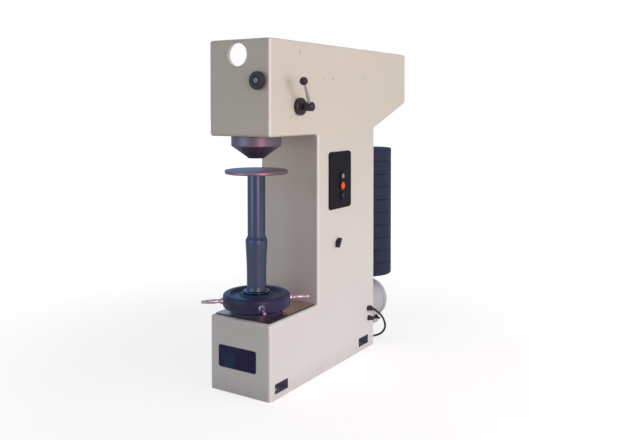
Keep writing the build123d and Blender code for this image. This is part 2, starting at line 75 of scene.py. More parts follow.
camera = bpy.data.objects.new("camera", bpy.data.cameras.new("camera"))
bpy.context.scene.collection.objects.link(camera)
camera.location = EYE
camera.rotation_euler = (pi / 2 - TILT, 0, TURN)
camera.data.sensor_width = SENSOR
camera.data.lens = FOCAL / WIDTH * SENSOR
camera.data.shift_y = (AXIS_ROW - HEIGHT / 2) / WIDTH
bpy.context.scene.camera = camera
print("lens:", round(camera.data.lens, 2), "mm")

# %% [markdown]
# ## Leads
# The mains lead is 8 mm rubber cable. It leaves an angled gland low on the column, falls to the
# floor in one bow and goes behind the base, where its spare length is wound up as for storage. It
# could be a mesh tube through sampled points, but that looks like bent wire. Here the line is one
# smooth spline: the points of the bow, then the turns of the coil as more points.

# %% Mains lead route
lead_bow = np.array([(135, 314, 141), (146, 342, 122), (148, 378, 82), (135, 408, 44), (108, 418, 14),
                     (76, 402, 4.2), (36, 384, 4.2), (-4, 379, 4.2)]) * MM
COIL_X, COIL_Y = -0.025, 0.425
TURNS, POINTS_PER_TURN = 8.26, 16
turns = np.arange(0.0, TURNS, 1 / POINTS_PER_TURN)
# Turns lie beside and on each other: the radius steps from ring to ring, the height from layer to layer.
rings = [0, 0.8, 1.0, 1.8, 2.0, 2.8, 3.0, 3.8, 4.0, 4.8, 5.0, 5.8, 6.0, 6.8, 7.0, 8.3]
radius_mm = np.interp(turns, rings, [50, 51, 44, 44, 36, 36, 36, 36, 44, 44, 52, 52, 44, 44, 52, 52])
height_mm = np.interp(turns, [0, 2.8, 3.0, 5.8, 6.0, 8.3], [4.2, 4.2, 12.0, 12.0, 19.8, 19.8])
angle = -pi / 2 - tau * turns
coil = np.stack([COIL_X + radius_mm * MM * np.cos(angle), COIL_Y + radius_mm * MM * np.sin(angle),
                 height_mm * MM], -1)
lead_end = np.array([(-75.5, 437, 18.6), (-75, 449, 18.1)]) * MM
lead_points = np.concatenate([lead_bow, coil[1:], lead_end])
print("points on the lead:", len(lead_points))


# %% A lead as a curve
def lead_curve(name, points, diameter):
    """A round tube along a quadratic NURBS line whose control points are the route's points."""
    curve = bpy.data.curves.new(name, "CURVE")
    curve.dimensions = "3D"
    curve.bevel_depth, curve.bevel_resolution, curve.resolution_u = diameter / 2, 3, 5
    curve.use_fill_caps = True
    spline = curve.splines.new("NURBS")
    spline.points.add(len(points) - 1)
    spline.points.foreach_set("co", np.c_[points, np.ones(len(points))].ravel())
    spline.order_u, spline.use_endpoint_u = 3, True
    piece = bpy.data.objects.new(name, curve)
    bpy.context.scene.collection.objects.link(piece)
    return piece


print("the bow has", len(lead_bow), "points")


# %% Length of a lead
def route_length(points):
    """Length of the same line, the sum of |P[i+1] - P[i]| over the curve that Blender makes of it."""
    probe = lead_curve("probe", points, 0)
    mesh = bpy.data.meshes.new_from_object(probe)
    xyz = np.empty(len(mesh.vertices) * 3)
    mesh.vertices.foreach_get("co", xyz)
    bpy.data.objects.remove(probe)
    return float(np.linalg.norm(np.diff(xyz.reshape(-1, 3), axis=0), axis=1).sum())


lead_length = route_length(lead_points)
print("mains lead:", round(lead_length, 3), "m")

# %% [markdown]
# ## Colours and shader nodes
# A colour picked on a screen is sRGB, and a shader works in linear light, so each hex colour is
# turned once, by one function. Nodes could be wired by hand in the editor. Written as a call with
# its settings and its feeds, each one is a line that can be read and changed.


# %% Colours
def linear(hex_colour):
    """sRGB hex to linear light: c / 12.92 near black, ((c + 0.055) / 1.055) ** 2.4 above."""
    c = np.array([int(hex_colour[i:i + 2], 16) / 255 for i in (1, 3, 5)])
    rgb = np.where(c <= 0.04045, c / 12.92, ((c + 0.055) / 1.055) ** 2.4)
    return (*rgb.tolist(), 1.0)


print("white is", linear("#FFFFFF"), "and mid grey", round(linear("#808080")[0], 3))


# %% One node
def add(tree, kind, inputs=None, **settings):
    """Adds one node. settings are its properties, inputs its values or the sockets that feed it."""
    node = tree.nodes.new(kind)
    for name, value in settings.items():
        setattr(node, name, value)
    for name, value in (inputs or {}).items():
        if isinstance(value, bpy.types.NodeSocket):
            tree.links.new(value, node.inputs[name])
        else:
            node.inputs[name].default_value = value
    return node


scratch = bpy.data.node_groups.new("scratch", "ShaderNodeTree")
print("made:", add(scratch, "ShaderNodeMath", {0: 2.0}, operation="SQRT").operation)
bpy.data.node_groups.remove(scratch)


# %% The start of a material
def finish(name, colour, **sockets):
    """A material with one shader and object coordinates. Returns material, tree, shader, place."""
    material = bpy.data.materials.new(name)
    material.use_nodes = True
    tree = material.node_tree
    shader = tree.nodes["Principled BSDF"]
    shader.inputs["Base Color"].default_value = linear(colour)
    for socket, value in sockets.items():
        shader.inputs[socket.replace("_", " ")].default_value = value
    place = add(tree, "ShaderNodeTexCoord").outputs["Object"]
    return material, tree, shader, place


def per_mm(size):
    """Texture scale for a pattern whose features are size millimetres apart."""
    return 1000 / size


print("a 5 mm pattern has scale", per_mm(5))

# %% [markdown]
# ## Rubber of the leads
# Black cable rubber has gone a little brown and dull. It scatters light widely, so its roughness is
# high and its highlight low. Without any grain it would look like plastic, so a fine matt grain goes
# into the bump.

# %% Lead rubber
lead_rubber, tree, shader, place = finish("cable_rubber", "#3A2C33", Roughness=0.62)
grain = add(tree, "ShaderNodeTexNoise", {"Vector": place, "Scale": per_mm(1.5), "Detail": 3})
bump = add(tree, "ShaderNodeBump", {"Height": grain.outputs["Fac"], "Strength": 0.25, "Distance": 0.2 * MM})
tree.links.new(bump.outputs["Normal"], shader.inputs["Normal"])
print("rubber nodes:", len(tree.nodes))


# %% Mains lead
def wear(piece, material, body):
    """Gives a new piece its material and its body."""
    piece.data.materials.append(material)
    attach(piece, body)
    return piece


MAINS_LEAD, MOTOR_LEAD = 0.008, 0.006  # diameters
mains_lead = wear(lead_curve("mains_cable", lead_points, MAINS_LEAD), lead_rubber, "frame")
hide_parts("mains_lead", "lead_coil")
print("mains lead ends at", lead_points[-1].round(3))

# %% Motor lead
motor_points = np.array([(131, 319, 107), (131, 352, 98), (126, 386, 90), (104.3, 402, 86)]) * MM
motor_lead = wear(lead_curve("motor_cable", motor_points, MOTOR_LEAD), lead_rubber, "frame")
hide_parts("motor_lead")
motor_length = route_length(motor_points)
print("motor lead:", round(motor_length, 3), "m")

# %% [markdown]
# ## Paint on the casting
# The base, column and head are one iron casting, filled, rubbed down and sprayed with stoving enamel.
# The eye sees a soft sheen, a faint orange peel and, on a big flat side, slow waves left by the
# filler. The cream's change with height is painted light: brighter and cooler near the floor, warmer
# and darker high up, as the light falls there. Near the floor the paint has also picked up a little
# dirt. Two masks come first, and both are painted light: a highlight on the rounded corners and shade
# in the foot pockets. The corners' highlight could be painted by hand, but the direction of the
# surface already says where a corner is, so the mask follows any casting.

# %% Painted highlight on the corners
CORNER = 0.12


def corner_painted_highlight(tree):
    """Mask of a painted highlight on the corners: x^2 y^2 of the true normal over CORNER, clamped: 0 on
    every flat, and 1 over the middle of an upright rounded corner, where x^2 y^2 goes up to 0.25."""
    normal = add(tree, "ShaderNodeNewGeometry").outputs["True Normal"]
    part = add(tree, "ShaderNodeSeparateXYZ", {"Vector": normal})
    both = add(tree, "ShaderNodeMath", {0: part.outputs["X"], 1: part.outputs["Y"]}, operation="MULTIPLY")
    square = add(tree, "ShaderNodeMath", {0: both.outputs["Value"], 1: both.outputs["Value"]},
                 operation="MULTIPLY")
    return add(tree, "ShaderNodeMapRange", {"Value": square.outputs["Value"],
                                            "From Max": CORNER}).outputs["Result"]


corner_middle = (cos(pi / 4) * sin(pi / 4)) ** 2
print("mask in the middle of a corner:", min(corner_middle / CORNER, 1))

# %% Painted shade in the foot pockets
POCKET_TOP, POCKET_SKIN, POCKET_FRONT = 50.5 * MM, 119.5 * MM, -330 * MM


def pocket_painted_shade(tree, place):
    """Mask of painted shade: 1 on the floor and on the rear wall of the foot pockets, which are darkened
    to stand for shade. Those are the faces under 50 mm and inside the side skin whose normal points up or
    forward."""
    at = add(tree, "ShaderNodeSeparateXYZ", {"Vector": place})
    normal = add(tree, "ShaderNodeNewGeometry").outputs["True Normal"]
    part = add(tree, "ShaderNodeSeparateXYZ", {"Vector": normal})
    forward = add(tree, "ShaderNodeMath", {0: part.outputs["Y"], 1: -1.0}, operation="MULTIPLY")
    faced = add(tree, "ShaderNodeMath", {0: part.outputs["Z"], 1: forward.outputs["Value"]},
                operation="MAXIMUM", use_clamp=True)
    low = add(tree, "ShaderNodeMath", {0: at.outputs["Z"], 1: POCKET_TOP}, operation="LESS_THAN")
    side = add(tree, "ShaderNodeMath", {0: at.outputs["X"]}, operation="ABSOLUTE")
    inside = add(tree, "ShaderNodeMath", {0: side.outputs["Value"], 1: POCKET_SKIN}, operation="LESS_THAN")
    away = add(tree, "ShaderNodeMath", {0: at.outputs["Y"], 1: POCKET_FRONT}, operation="GREATER_THAN")
    pocket = low.outputs["Value"]
    for mask in (inside, away, faced):
        pocket = add(tree, "ShaderNodeMath", {0: pocket, 1: mask.outputs["Value"]},
                     operation="MULTIPLY").outputs["Value"]
    return pocket


print("pockets lie under", round(POCKET_TOP / MM), "mm")

# %% [markdown]
# ## The enamel itself
# A single cream colour would look like plastic. The enamel is built up in layers: painted light that
# shifts the colour with height, dirt near the floor, painted shade in the pockets, a painted highlight
# on the rounded corners, and then two sizes of bump, the orange peel and the filler's waves.

# %% Orange peel and filler's waves
PEEL, FILLER = 4.0, 150  # sizes of the two patterns in mm


def sprayed_skin(tree, place, wave):
    """The normal of a sprayed surface: orange peel 0.12 mm deep under waves 4 mm deep, which count
    by wave. The second bump takes the first one's normal, so the two add up."""
    orange = add(tree, "ShaderNodeTexNoise", {"Vector": place, "Scale": per_mm(PEEL), "Detail": 2})
    filler = add(tree, "ShaderNodeTexNoise", {"Vector": place, "Scale": per_mm(FILLER), "Detail": 1})
    fine = add(tree, "ShaderNodeBump", {"Height": orange.outputs["Fac"], "Strength": 0.35,
                                        "Distance": 0.12 * MM})
    slow = add(tree, "ShaderNodeBump", {"Height": filler.outputs["Fac"], "Strength": wave,
                                        "Distance": 4 * MM, "Normal": fine.outputs["Normal"]})
    return slow.outputs["Normal"]


print("peel and waves:", PEEL, "and", FILLER, "mm")

# %% Stoving enamel
DRIFT, SPLASH = 180, 25  # sizes of the two patterns in mm
# DIRT is dirt near the floor. The second colour is painted shade in the foot pockets, the third a painted
# highlight on the corners.
DIRT, POCKET_SHADE, PAINTED_HIGHLIGHT = "#8A8074", "#6E6F86", "#FFFCFC"


def enamel(name, low, high, roughness, wave=0.5):
    """Sprayed enamel. Colour goes from low at the floor to high near 1 m, by a ramp of the height plus
    noise. The ramp is painted light. A noise that is strong only below 60 mm is the dirt that a mop leaves."""
    material, tree, shader, place = finish(name, low, Roughness=roughness, Coat_Weight=0.4,
                                           Coat_Roughness=0.15)
    z = add(tree, "ShaderNodeSeparateXYZ", {"Vector": place}).outputs["Z"]
    blotch = add(tree, "ShaderNodeTexNoise", {"Vector": place, "Scale": per_mm(DRIFT), "Detail": 4})
    # The height ramp is painted light: brighter and cooler low down, warmer and darker high up.
    painted_light_by_height = add(tree, "ShaderNodeMapRange", {"Value": z, "From Min": 0.05, "From Max": 0.95})
    drift = add(tree, "ShaderNodeMath", {0: blotch.outputs["Fac"], 1: 0.3, 2: -0.15},
                operation="MULTIPLY_ADD")
    mixed = add(tree, "ShaderNodeMath", {0: painted_light_by_height.outputs["Result"], 1: drift.outputs["Value"]},
                use_clamp=True)
    ramp = add(tree, "ShaderNodeValToRGB", {"Fac": mixed.outputs["Value"]})
    ramp.color_ramp.elements[0].color, ramp.color_ramp.elements[1].color = linear(low), linear(high)
    splash = add(tree, "ShaderNodeTexNoise", {"Vector": place, "Scale": per_mm(SPLASH), "Detail": 6})
    near = add(tree, "ShaderNodeMapRange", {"Value": z, "From Min": 0.06, "From Max": 0.0, "To Max": 0.35})
    dirt = add(tree, "ShaderNodeMath", {0: splash.outputs["Fac"], 1: near.outputs["Result"]},
               operation="MULTIPLY")
    colour = ramp.outputs["Color"]
    # Layers: dirt near the floor, painted shade in the pockets, a painted highlight on the corners.
    layers = [(dirt.outputs["Value"], DIRT), (pocket_painted_shade(tree, place), POCKET_SHADE), (corner_painted_highlight(tree), PAINTED_HIGHLIGHT)]
    for mask, tint in layers:
        colour = add(tree, "ShaderNodeMix", {"Factor": mask, 6: colour, 7: linear(tint)},
                     data_type="RGBA").outputs[2]
    tree.links.new(colour, shader.inputs["Base Color"])
    tree.links.new(sprayed_skin(tree, place, wave), shader.inputs["Normal"])
    return material


# Painted light in the two colours: the floor's is brighter and cooler, the high one warmer and darker.
cream_enamel = enamel("cream_stoving_enamel", "#F0EFF2", "#DED7CB", 0.42)
motor_enamel = enamel("grey_machine_enamel", "#C4C8D0", "#BEC0C6", 0.45, wave=0.2)
print("enamel nodes:", len(cream_enamel.node_tree.nodes))


# %% Painted pieces
def dress(material, *nodes):
    """Gives carried-over pieces their material, through their slots. Returns how many."""
    for name in nodes:
        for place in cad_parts[name].material_slots:
            place.material = material
    return len(nodes)


print("painted:", dress(cream_enamel, "main_casting", "head_top_cover", "rear_cover", "isolator_switch"),
      dress(motor_enamel, "motor_body", "motor_flange", "terminal_box", "screen_bezel", "case_screws"))

# %% [markdown]
# ## Dark enamel
# The handwheel and its bearing are blue-black, the weights a duller slate blue. They are handled, so
# the gloss wanders: grease makes patches smoother, and rubbed places show a trace lighter. That could
# be painted on by hand, but one noise that feeds colour and roughness together does the same from
# every side.


# %% Dark gloss and slate enamels
def dark_enamel(name, colour, worn, roughness, gloss=0.22):
    """Dark enamel with patches of 40 mm. One noise moves the roughness by -0.075 to +0.15, and its
    upper part tints the colour towards worn. gloss is the strength of the highlight."""
    material, tree, shader, place = finish(name, colour, Roughness=roughness, Specular_IOR_Level=gloss)
    patch = add(tree, "ShaderNodeTexNoise", {"Vector": place, "Scale": per_mm(40), "Detail": 5,
                                             "Roughness": 0.6})
    rough = add(tree, "ShaderNodeMapRange", {"Value": patch.outputs["Fac"], "From Min": 0.3,
                                             "From Max": 0.7, "To Min": roughness - 0.075,
                                             "To Max": roughness + 0.15})
    tree.links.new(rough.outputs["Result"], shader.inputs["Roughness"])
    ramp = add(tree, "ShaderNodeValToRGB", {"Fac": patch.outputs["Fac"]})
    fresh, rubbed = ramp.color_ramp.elements
    fresh.position, rubbed.position = 0.45, 0.75
    fresh.color, rubbed.color = linear(colour), linear(worn)
    tree.links.new(ramp.outputs["Color"], shader.inputs["Base Color"])
    peel = add(tree, "ShaderNodeTexNoise", {"Vector": place, "Scale": per_mm(2.5), "Detail": 2})
    bump = add(tree, "ShaderNodeBump", {"Height": peel.outputs["Fac"], "Strength": 0.3,
                                        "Distance": 0.1 * MM})
    tree.links.new(bump.outputs["Normal"], shader.inputs["Normal"])
    return material


wheel_enamel = dark_enamel("blue_black_gloss_enamel", "#22214E", "#30234A", 0.3, gloss=0.5)
slate_enamel = dark_enamel("slate_blue_enamel", "#2A3148", "#333B55", 0.5)
print("dark:", dress(wheel_enamel, "bearing_housing", "hanger_plate"), dress(slate_enamel, "weights"))

# %% [markdown]
# ## Bare and plated steel
# Turned steel shows fine rings round its axis, so its highlight stretches across them. An anisotropic
# shader could do that alone, but rings in the bump also catch the light as real ones do. A real feed
# mark is 0.1 to 0.2 mm wide and would vanish, so the rings are drawn about 6 mm apart. Ground, oiled
# and cast metal get a grain instead, and chrome is the same metal with next to no grain.


# %% Bare metal
def steel(name, colour, roughness, centre=None, feed=1.0, depth=0.02, streak=0.0, metallic=1.0):
    """Bare metal. With a centre it gets rings about a vertical axis there, tau * feed mm apart, for
    the Wave node multiplies by 20. Otherwise it gets a grain feed mm wide. Both are depth mm deep.
    streak lets the roughness wander by that much, as thin oil does."""
    material, tree, shader, place = finish(name, colour, Metallic=metallic, Roughness=roughness)
    if centre is not None:
        moved = add(tree, "ShaderNodeMapping", {"Vector": place, "Location": tuple(-c for c in centre)})
        marks = add(tree, "ShaderNodeTexWave", {"Vector": moved.outputs["Vector"], "Distortion": 0.4,
                                                "Scale": per_mm(feed) / 20, "Detail": 2},
                    wave_type="RINGS", rings_direction="Z")
    else:
        marks = add(tree, "ShaderNodeTexNoise", {"Vector": place, "Scale": per_mm(feed), "Detail": 3})
    bump = add(tree, "ShaderNodeBump", {"Height": marks.outputs["Fac"], "Strength": 0.3,
                                        "Distance": depth * MM})
    tree.links.new(bump.outputs["Normal"], shader.inputs["Normal"])
    if streak:
        stain = add(tree, "ShaderNodeTexNoise", {"Vector": place, "Scale": per_mm(30), "Detail": 5})
        rough = add(tree, "ShaderNodeMapRange", {"Value": stain.outputs["Fac"],
                                                 "To Min": roughness - streak,
                                                 "To Max": roughness + streak})
        tree.links.new(rough.outputs["Result"], shader.inputs["Roughness"])
    return material


print("rings are", round(tau, 1), "times feed apart")

# %% Steels that show
on_axis = (0, AXIS_Y, 0)
# Turned steel under old oil: grey with a dull violet sheen, rings round the spindle.
turned_steel = steel("turned_tool_steel", "#80788A", 0.4, on_axis, streak=0.08, metallic=0.8)
# A ground table: flatter and paler, its highlight broken by fine rings.
table_steel = steel("ground_table_steel", "#A08694", 0.38, on_axis, streak=0.08)
# Blued and oiled tube: dark blue-grey, smooth enough to show long upright stripes.
blued_sleeve = steel("blued_oiled_steel", "#5C6680", 0.25, feed=4, streak=0.05)
# A ground plate with oil on it: it mirrors what stands on it. Its pale brown colour is a painted reflection
# of the cream column, and its rim is painted shade.
deck_steel = steel("steel_plate_painted_reflection_and_shade", "#DDBDA6", 0.26, feed=2.5, streak=0.08)
print("first steels:", [m.name for m in (turned_steel, table_steel, blued_sleeve, deck_steel)])

# %% Other metals
# Plain ground steel, bright and slightly clouded.
plain_steel = steel("ground_steel", "#A3A2A6", 0.3, feed=1.5, streak=0.1)
# Oil-blackened screws and bolts: near black, with a soft shine.
black_steel = steel("oil_blackened_steel", "#3A3A40", 0.4, feed=2, streak=0.1)
# Chrome plate: sharp bright reflections.
chrome = steel("chrome_plate", "#C6B9C2", 0.1, feed=3, depth=0.005)
# Turned bronze and brass bushes: warm, half dull.
turned_brass = steel("turned_brass", "#B79A63", 0.28, feed=1.2, streak=0.08)
# Cast iron as it left the mould: dark and sandy.
raw_iron = steel("raw_cast_iron", "#55555A", 0.6, feed=2, depth=0.2)
print("metals:", len([m for m in bpy.data.materials if m.name.endswith(("steel", "iron", "brass"))]))

# %% Metal pieces
print("steel:", dress(turned_steel, "clamping_nozzle", "micrometer_spindle"),
      dress(table_steel, "test_table"),
      dress(blued_sleeve, "table_sleeve"), dress(deck_steel, "base_top_plate"),
      dress(plain_steel, "indenter_spindle", "ball_holder", "indenter_ball", "knife_edges",
            "hanger_stirrup", "hanger_rod", "elevating_screw", "push_rod", "cam"),
      dress(black_steel, "cover_screws", "flange_bolts", "main_lever", "thrust_bearing",
            "fulcrum_block"),
      dress(turned_brass, "elevating_nut", "spindle_guide"),
      dress(raw_iron, "projection_tube", "lamp_house", "gearbox", "push_rod_guide"))

# %% [markdown]
# ## Painted shade along the plate's edge
# The plate's rim is coloured dark, as painted shade on its front and sides. The rim could be a piece
# of its own. A mask is simpler and fits exactly: all of the plate that lies under its top face is rim.

# %% Rim in painted shade
tree = deck_steel.node_tree
deck_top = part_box("base_top_plate")[1][2]
height = add(tree, "ShaderNodeSeparateXYZ", {
    "Vector": add(tree, "ShaderNodeTexCoord").outputs["Object"]}).outputs["Z"]
# Everything below the top face is the rim, and its dark colour is painted shade.
rim = add(tree, "ShaderNodeMath", {0: height, 1: deck_top - 0.2 * MM}, operation="LESS_THAN")
rim_painted_shade = add(tree, "ShaderNodeMix", {"Factor": rim.outputs["Value"], 6: linear("#DDBDA6"),
                                    7: linear("#3A302C")}, data_type="RGBA")
tree.links.new(rim_painted_shade.outputs[2], tree.nodes["Principled BSDF"].inputs["Base Color"])
print("plate's top at", round(deck_top / MM, 1), "mm")

# %% [markdown]
# ## Mouldings and glass
# The knobs and the ball are black phenolic resin, polished in the mould. The switch panel and its
# button bodies are a duller moulding. The screen is ground glass with the projector's light behind.
# A lamp behind a real glass shader would be slow and noisy, so the glass glows by itself.


# %% Moulded plastic
def moulding(name, colour, roughness, grain=0.8, **sockets):
    """Moulded plastic: an even colour, and a fine grain, grain mm wide, in the bump alone."""
    material, tree, shader, place = finish(name, colour, Roughness=roughness, **sockets)
    noise = add(tree, "ShaderNodeTexNoise", {"Vector": place, "Scale": per_mm(grain), "Detail": 2})
    bump = add(tree, "ShaderNodeBump", {"Height": noise.outputs["Fac"], "Strength": 0.2,
                                        "Distance": 0.05 * MM})
    tree.links.new(bump.outputs["Normal"], shader.inputs["Normal"])
    return material


# Phenolic resin keeps a clear highlight. The panel is duller, and the plate is lacquer on metal.
phenolic = moulding("black_phenolic_resin", "#37303A", 0.28, Specular_IOR_Level=0.4)
panel_moulding = moulding("black_panel_moulding", "#110E18", 0.4, Specular_IOR_Level=0.2)
plate_enamel = dark_enamel("blue_plate_lacquer", "#2A2150", "#20486E", 0.3)
print("knobs and panel:", dress(phenolic, "lever_ball", "knob_collar", "lever_collar", "lever_shaft",
                                "isolator_knob"),
      dress(panel_moulding, "switch_panel", "button_bodies"), dress(plate_enamel, "rating_plate"))

# %% Buttons, lamp and screen
# The two buttons are plain gloss plastic. The lens, its collar and the screen give off light.
pale_button = moulding("pale_button_plastic", "#8D8F9A", 0.3)
blue_button = moulding("dark_blue_button_plastic", "#1C2044", 0.3)
lit_button = moulding("lit_lamp_lens", "#C8501E", 0.25, Emission_Color=linear("#E0551A"),
                      Emission_Strength=0.5)
amber_collar = moulding("amber_lamp_collar", "#9A3C1C", 0.3, Emission_Color=linear("#B8421A"),
                        Emission_Strength=0.35)
ground_glass = moulding("ground_glass_screen", "#D8DAD8", 0.6, grain=0.5,
                        Emission_Color=linear("#FFFFFF"), Emission_Strength=0.72)
print("lights and buttons:", dress(pale_button, "start_button"), dress(lit_button, "lamp_button"),
      dress(blue_button, "stop_button"), dress(ground_glass, "projection_screen"))

# %% [markdown]
# ## Turned forms
# Most of what is left was made on a lathe. Blender's Spin tool or a Screw modifier could turn a
# profile, but a formula on a grid of points also takes flutes and slots, and one function then makes
# any such grid a mesh: u runs round the axis and v along the profile.


# %% A grid as a mesh
SMOOTH = 40  # degrees: sharper edges than this stay sharp


def surface(name, grid, wrap_v=False):
    """A mesh from grid[..., u, v] = (x, y, z); a leading axis holds copies. u closes round, and so
    does v with wrap_v. Faces point along the cross product of the u and v directions."""
    copies = grid.reshape(-1, *grid.shape[-3:])
    count, nu, nv = copies.shape[:3]
    k = np.arange(count)[:, None, None] * nu * nv
    u = np.arange(nu)[None, :, None]
    v = np.arange(nv if wrap_v else nv - 1)[None, None, :]
    corner = lambda a, b: k + (a % nu) * nv + b % nv
    quads = np.stack([corner(u, v), corner(u + 1, v), corner(u + 1, v + 1), corner(u, v + 1)], -1)
    mesh = bpy.data.meshes.new(name)
    mesh.from_pydata(copies.reshape(-1, 3).tolist(), [], quads.reshape(-1, 4).tolist())
    piece = bpy.data.objects.new(name, mesh)
    bpy.context.scene.collection.objects.link(piece)
    weld = piece.modifiers.new("weld", "WELD")
    weld.merge_threshold = 1e-6
    mesh.shade_smooth()
    mesh.set_sharp_from_angle(angle=radians(SMOOTH))
    return piece


print("smooth up to", SMOOTH, "degrees")


# %% A rounded profile
def rounded(corners):
    """Profile in metres from (radius, height, cut) in mm. Each corner P becomes the curve
    (1-t)^2 A + 2t(1-t) P + t^2 C, where A and C lie cut mm before and after P."""
    table = np.array(corners, float) * MM
    spot, cut = table[:, :2], table[:, 2:]
    unit = lambda v: v / np.maximum(np.linalg.norm(v, axis=1, keepdims=True), 1e-9)
    before = spot + unit(np.roll(spot, 1, 0) - spot) * cut
    after = spot + unit(np.roll(spot, -1, 0) - spot) * cut
    t = np.linspace(0, 1, 7)[None, :, None]
    curve = (1 - t) ** 2 * before[:, None] + 2 * t * (1 - t) * spot[:, None] + t ** 2 * after[:, None]
    return curve.reshape(-1, 2)


print("points for a square with round corners:",
      len(rounded([(10, 0, 2), (20, 0, 2), (20, 10, 2), (10, 10, 2)])))


# %% A turned grid
def lathe(profile, origin=(0, 0, 0), axis=(0, 0, 1), sides=96, flute=None):
    """Grid of a turned form: P = origin + h * axis + r * (cos a * e1 + sin a * e2), with a over the
    full turn. flute(a, r, h) may return a changed r and h."""
    axis = np.array(axis, float) / np.linalg.norm(axis)
    e1 = np.cross(axis, (0, 0, 1) if abs(axis[2]) < 0.9 else (0, 1, 0))
    e1 = e1 / np.linalg.norm(e1)
    e2 = np.cross(axis, e1)
    a = (np.arange(sides) * tau / sides)[:, None]
    r, h = profile[None, :, 0] + 0 * a, profile[None, :, 1] + 0 * a
    if flute:
        r, h = flute(a, r, h)
    return np.array(origin) + h[..., None] * axis + r[..., None] * (np.cos(a)[..., None] * e1
                                                                    + np.sin(a)[..., None] * e2)


print("grid of a plain ring:", lathe(rounded([(10, 0, 2), (20, 0, 2), (20, 10, 2)])).shape)

# %% [markdown]
# ## Handwheel
# A cast wheel turned all over: a fat rim with a full round outside, a thin web and a raised hub. Its
# four handles screw into the rim through a collar, swell where the hand holds them, and end in a
# small ball. A torus and cylinders joined by booleans would leave seams. One closed profile gives rim,
# web and hub as one skin, and the rim's arcs, which hand and light find first, stay smooth.

# %% Rim, web and hub
WHEEL_LOW, WHEEL_HIGH = (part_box("handwheel")[i][2] / MM for i in (0, 1))
WHEEL_MIDDLE = (WHEEL_LOW + WHEEL_HIGH) / 2
wheel_section = rounded([
    (34.1, WHEEL_LOW, 0.5), (46, WHEEL_LOW, 3), (50, WHEEL_LOW + 10, 3), (82, WHEEL_LOW + 10, 3),
    (86, WHEEL_LOW, 2), (110, WHEEL_LOW, 13), (110, WHEEL_HIGH, 13), (86, WHEEL_HIGH, 3),
    (82, WHEEL_HIGH - 9, 3), (54, WHEEL_HIGH - 9, 5), (49, WHEEL_HIGH, 2), (34.1, WHEEL_HIGH, 0.5)])
wheel = surface("handwheel_turned", lathe(wheel_section, (0, AXIS_Y, 0), sides=128), wrap_v=True)
wear(wheel, wheel_enamel, "handwheel")
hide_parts("handwheel")
print("wheel from", round(WHEEL_LOW), "to", round(WHEEL_HIGH), "mm")

# %% Four handles
handle_section = rounded([
    (0, 109, 0), (10, 109, 0.5), (10, 116.5, 1.5), (6.8, 119, 1.5), (6, 124, 3), (7.4, 140, 9),
    (6.9, 154, 8), (4.9, 170, 5), (5.4, 175.5, 2.5), (3.5, 179.3, 2.2), (0, 179.3, 0)])
handle_angles = [pi / 4 + k * pi / 2 for k in range(4)]
handle_grids = np.stack([lathe(handle_section, (0, AXIS_Y, WHEEL_MIDDLE * MM), (cos(a), sin(a), 0), 40)
                         for a in handle_angles])
handles = wear(surface("handwheel_grips", handle_grids), chrome, "handwheel")
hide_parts("handwheel_handles")
print("handles:", len(handle_angles))

# %% [markdown]
# ## Guard sleeve
# The sleeve that keeps swarf off the elevating screw is turned from tube. It stands on a foot, widens
# towards the top and is bevelled at the lip, where the inner sleeve slides in. A stack of cones would
# show a hard line at each joint, so the outside is one profile with soft changes of slope.

# %% Foot, taper and bevelled lip
GUARD_TOP = 492
guard_section = rounded([
    (29.5, 310.2, 0.3), (44, 310.2, 1), (44, 316, 1), (32.6, 318, 1.5), (31.6, 330, 3), (31.6, 392, 25),
    (35.9, 474, 3), (36, 482, 2), (30.6, GUARD_TOP, 0.8), (29.5, GUARD_TOP, 0.3)])
guard = surface("guard_sleeve_turned", lathe(guard_section, (0, AXIS_Y, 0), sides=96), wrap_v=True)
wear(guard, blued_sleeve, "handwheel")
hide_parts("guard_sleeve")
print("guard sleeve top:", GUARD_TOP, "mm")

# %% [markdown]
# ## Operating lever's rod
# A chromed rod that tapers from the hub to the ball. A cylinder scaled at one end and turned into
# place would do, but then its object is turned too. Here the lathe's axis is the line from the hub's
# centre to the ball's centre, so the rod's place is in its mesh from the start.

# %% Tapered rod
hub_place, ball_place = np.array([0.164, -0.18, 0.915]), np.array([0.170, -0.228, 0.995])
reach = ball_place - hub_place
rod_section = rounded([(0, 6, 0), (5.6, 6, 0.3), (5.4, 30, 8), (4.0, 76, 8), (3.8, 86, 0.5), (0, 86, 0)])
rod = wear(surface("lever_rod_tapered", lathe(rod_section, hub_place, reach, 48)), chrome,
           "operating_lever")
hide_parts("lever_rod")
print("rod:", round(float(np.linalg.norm(reach)) / MM), "mm between centres")

# %% [markdown]
# ## Measuring knob
# The drum that drives the screen's cross line is turned by a black knob with 24 flutes for the
# fingers. They could be cut with 24 cylinders. Here a cosine is taken out of the radius, only where
# the wall stands full, which leaves rounded grooves and no cut edges.

# %% Fluted knob
FLUTES, FLUTE_DEPTH = 24, 1.3 * MM


def flutes(a, r, h):
    """r loses FLUTE_DEPTH * clip(cos(FLUTES a), 0, 1), which fades in over the wall's last 1.5 mm."""
    full = np.clip((r - 26.5 * MM) / (1.5 * MM), 0, 1)
    return r - FLUTE_DEPTH * full * np.clip(np.cos(FLUTES * a), 0, 1), h


